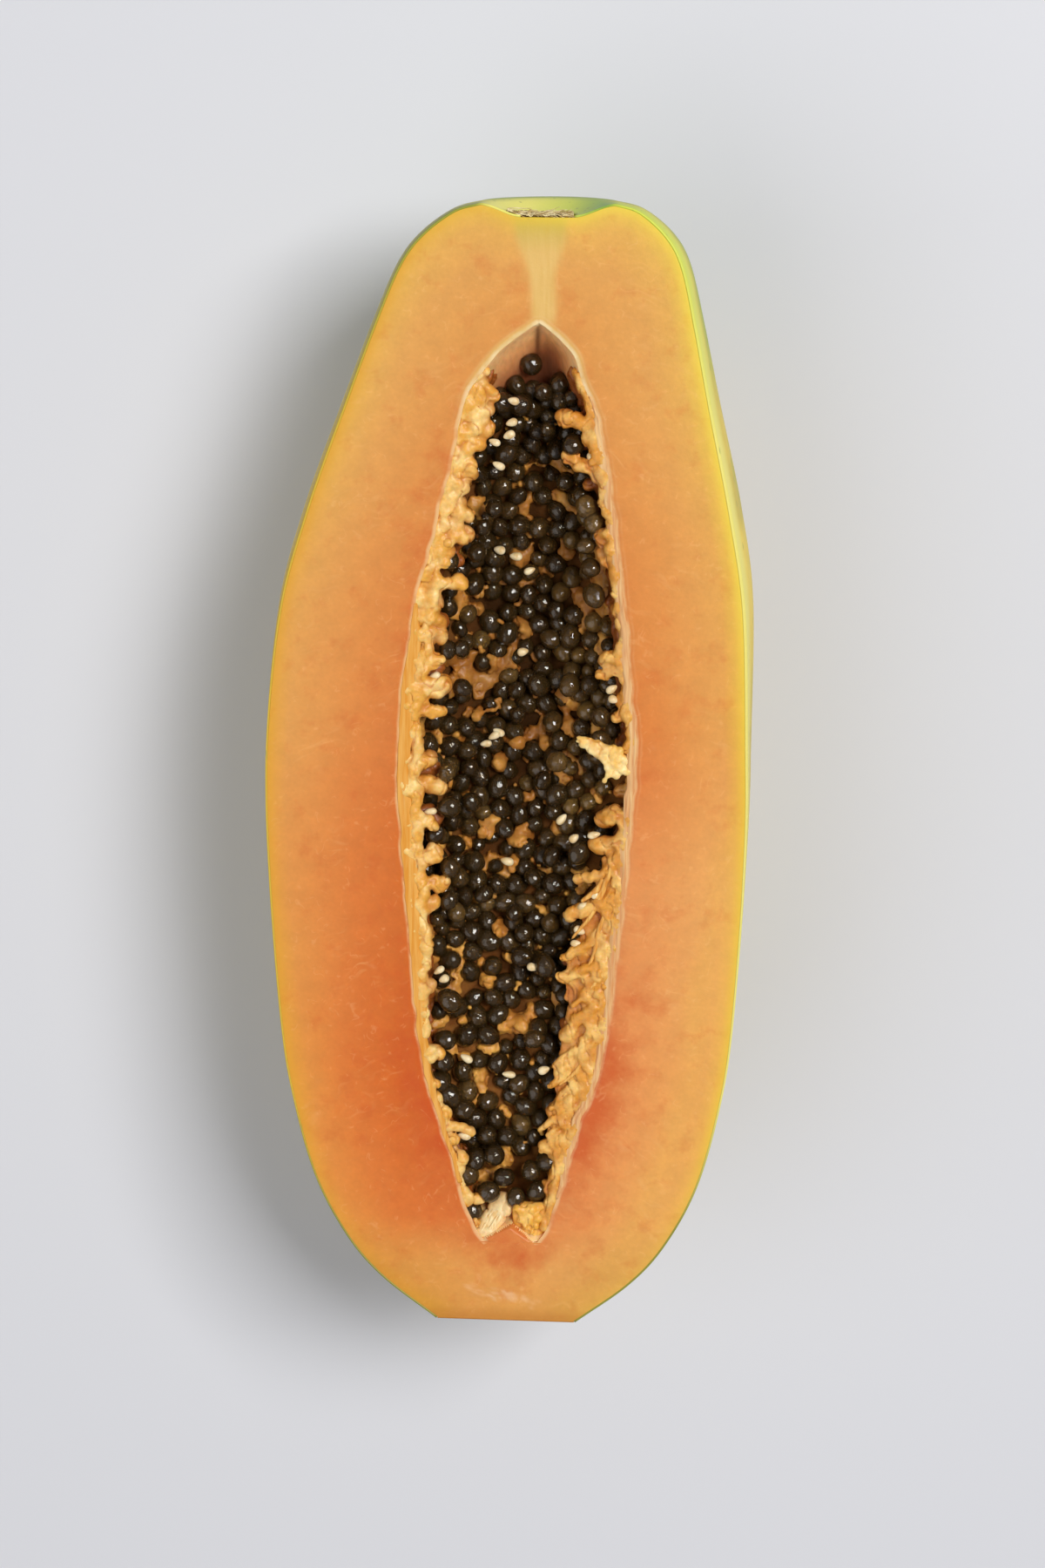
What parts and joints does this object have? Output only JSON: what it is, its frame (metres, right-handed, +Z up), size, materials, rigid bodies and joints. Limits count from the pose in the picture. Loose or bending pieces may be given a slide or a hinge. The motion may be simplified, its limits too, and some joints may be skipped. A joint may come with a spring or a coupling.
{
  "type": "papaya half",
  "caption": "Half of a ripe orange-fleshed papaya lying cut face up, its long cavity lined with glossy black seeds.",
  "frame": {"origin": "on the surface it rests on, under the middle of its length and width", "axes": "+Y along the fruit towards the stem end, +Z up out of the level cut face, +X to the right as seen from above with the stem end away"},
  "size_m": [0.1352, 0.3184, 0.0781],
  "materials": {
    "flesh": "satin, wet",
    "seeds": "wet gloss"
  },
  "bodies": {
    "root": {"papaya_flesh": "flesh", "seed_heap": "seeds"}
  },
  "joints": []
}
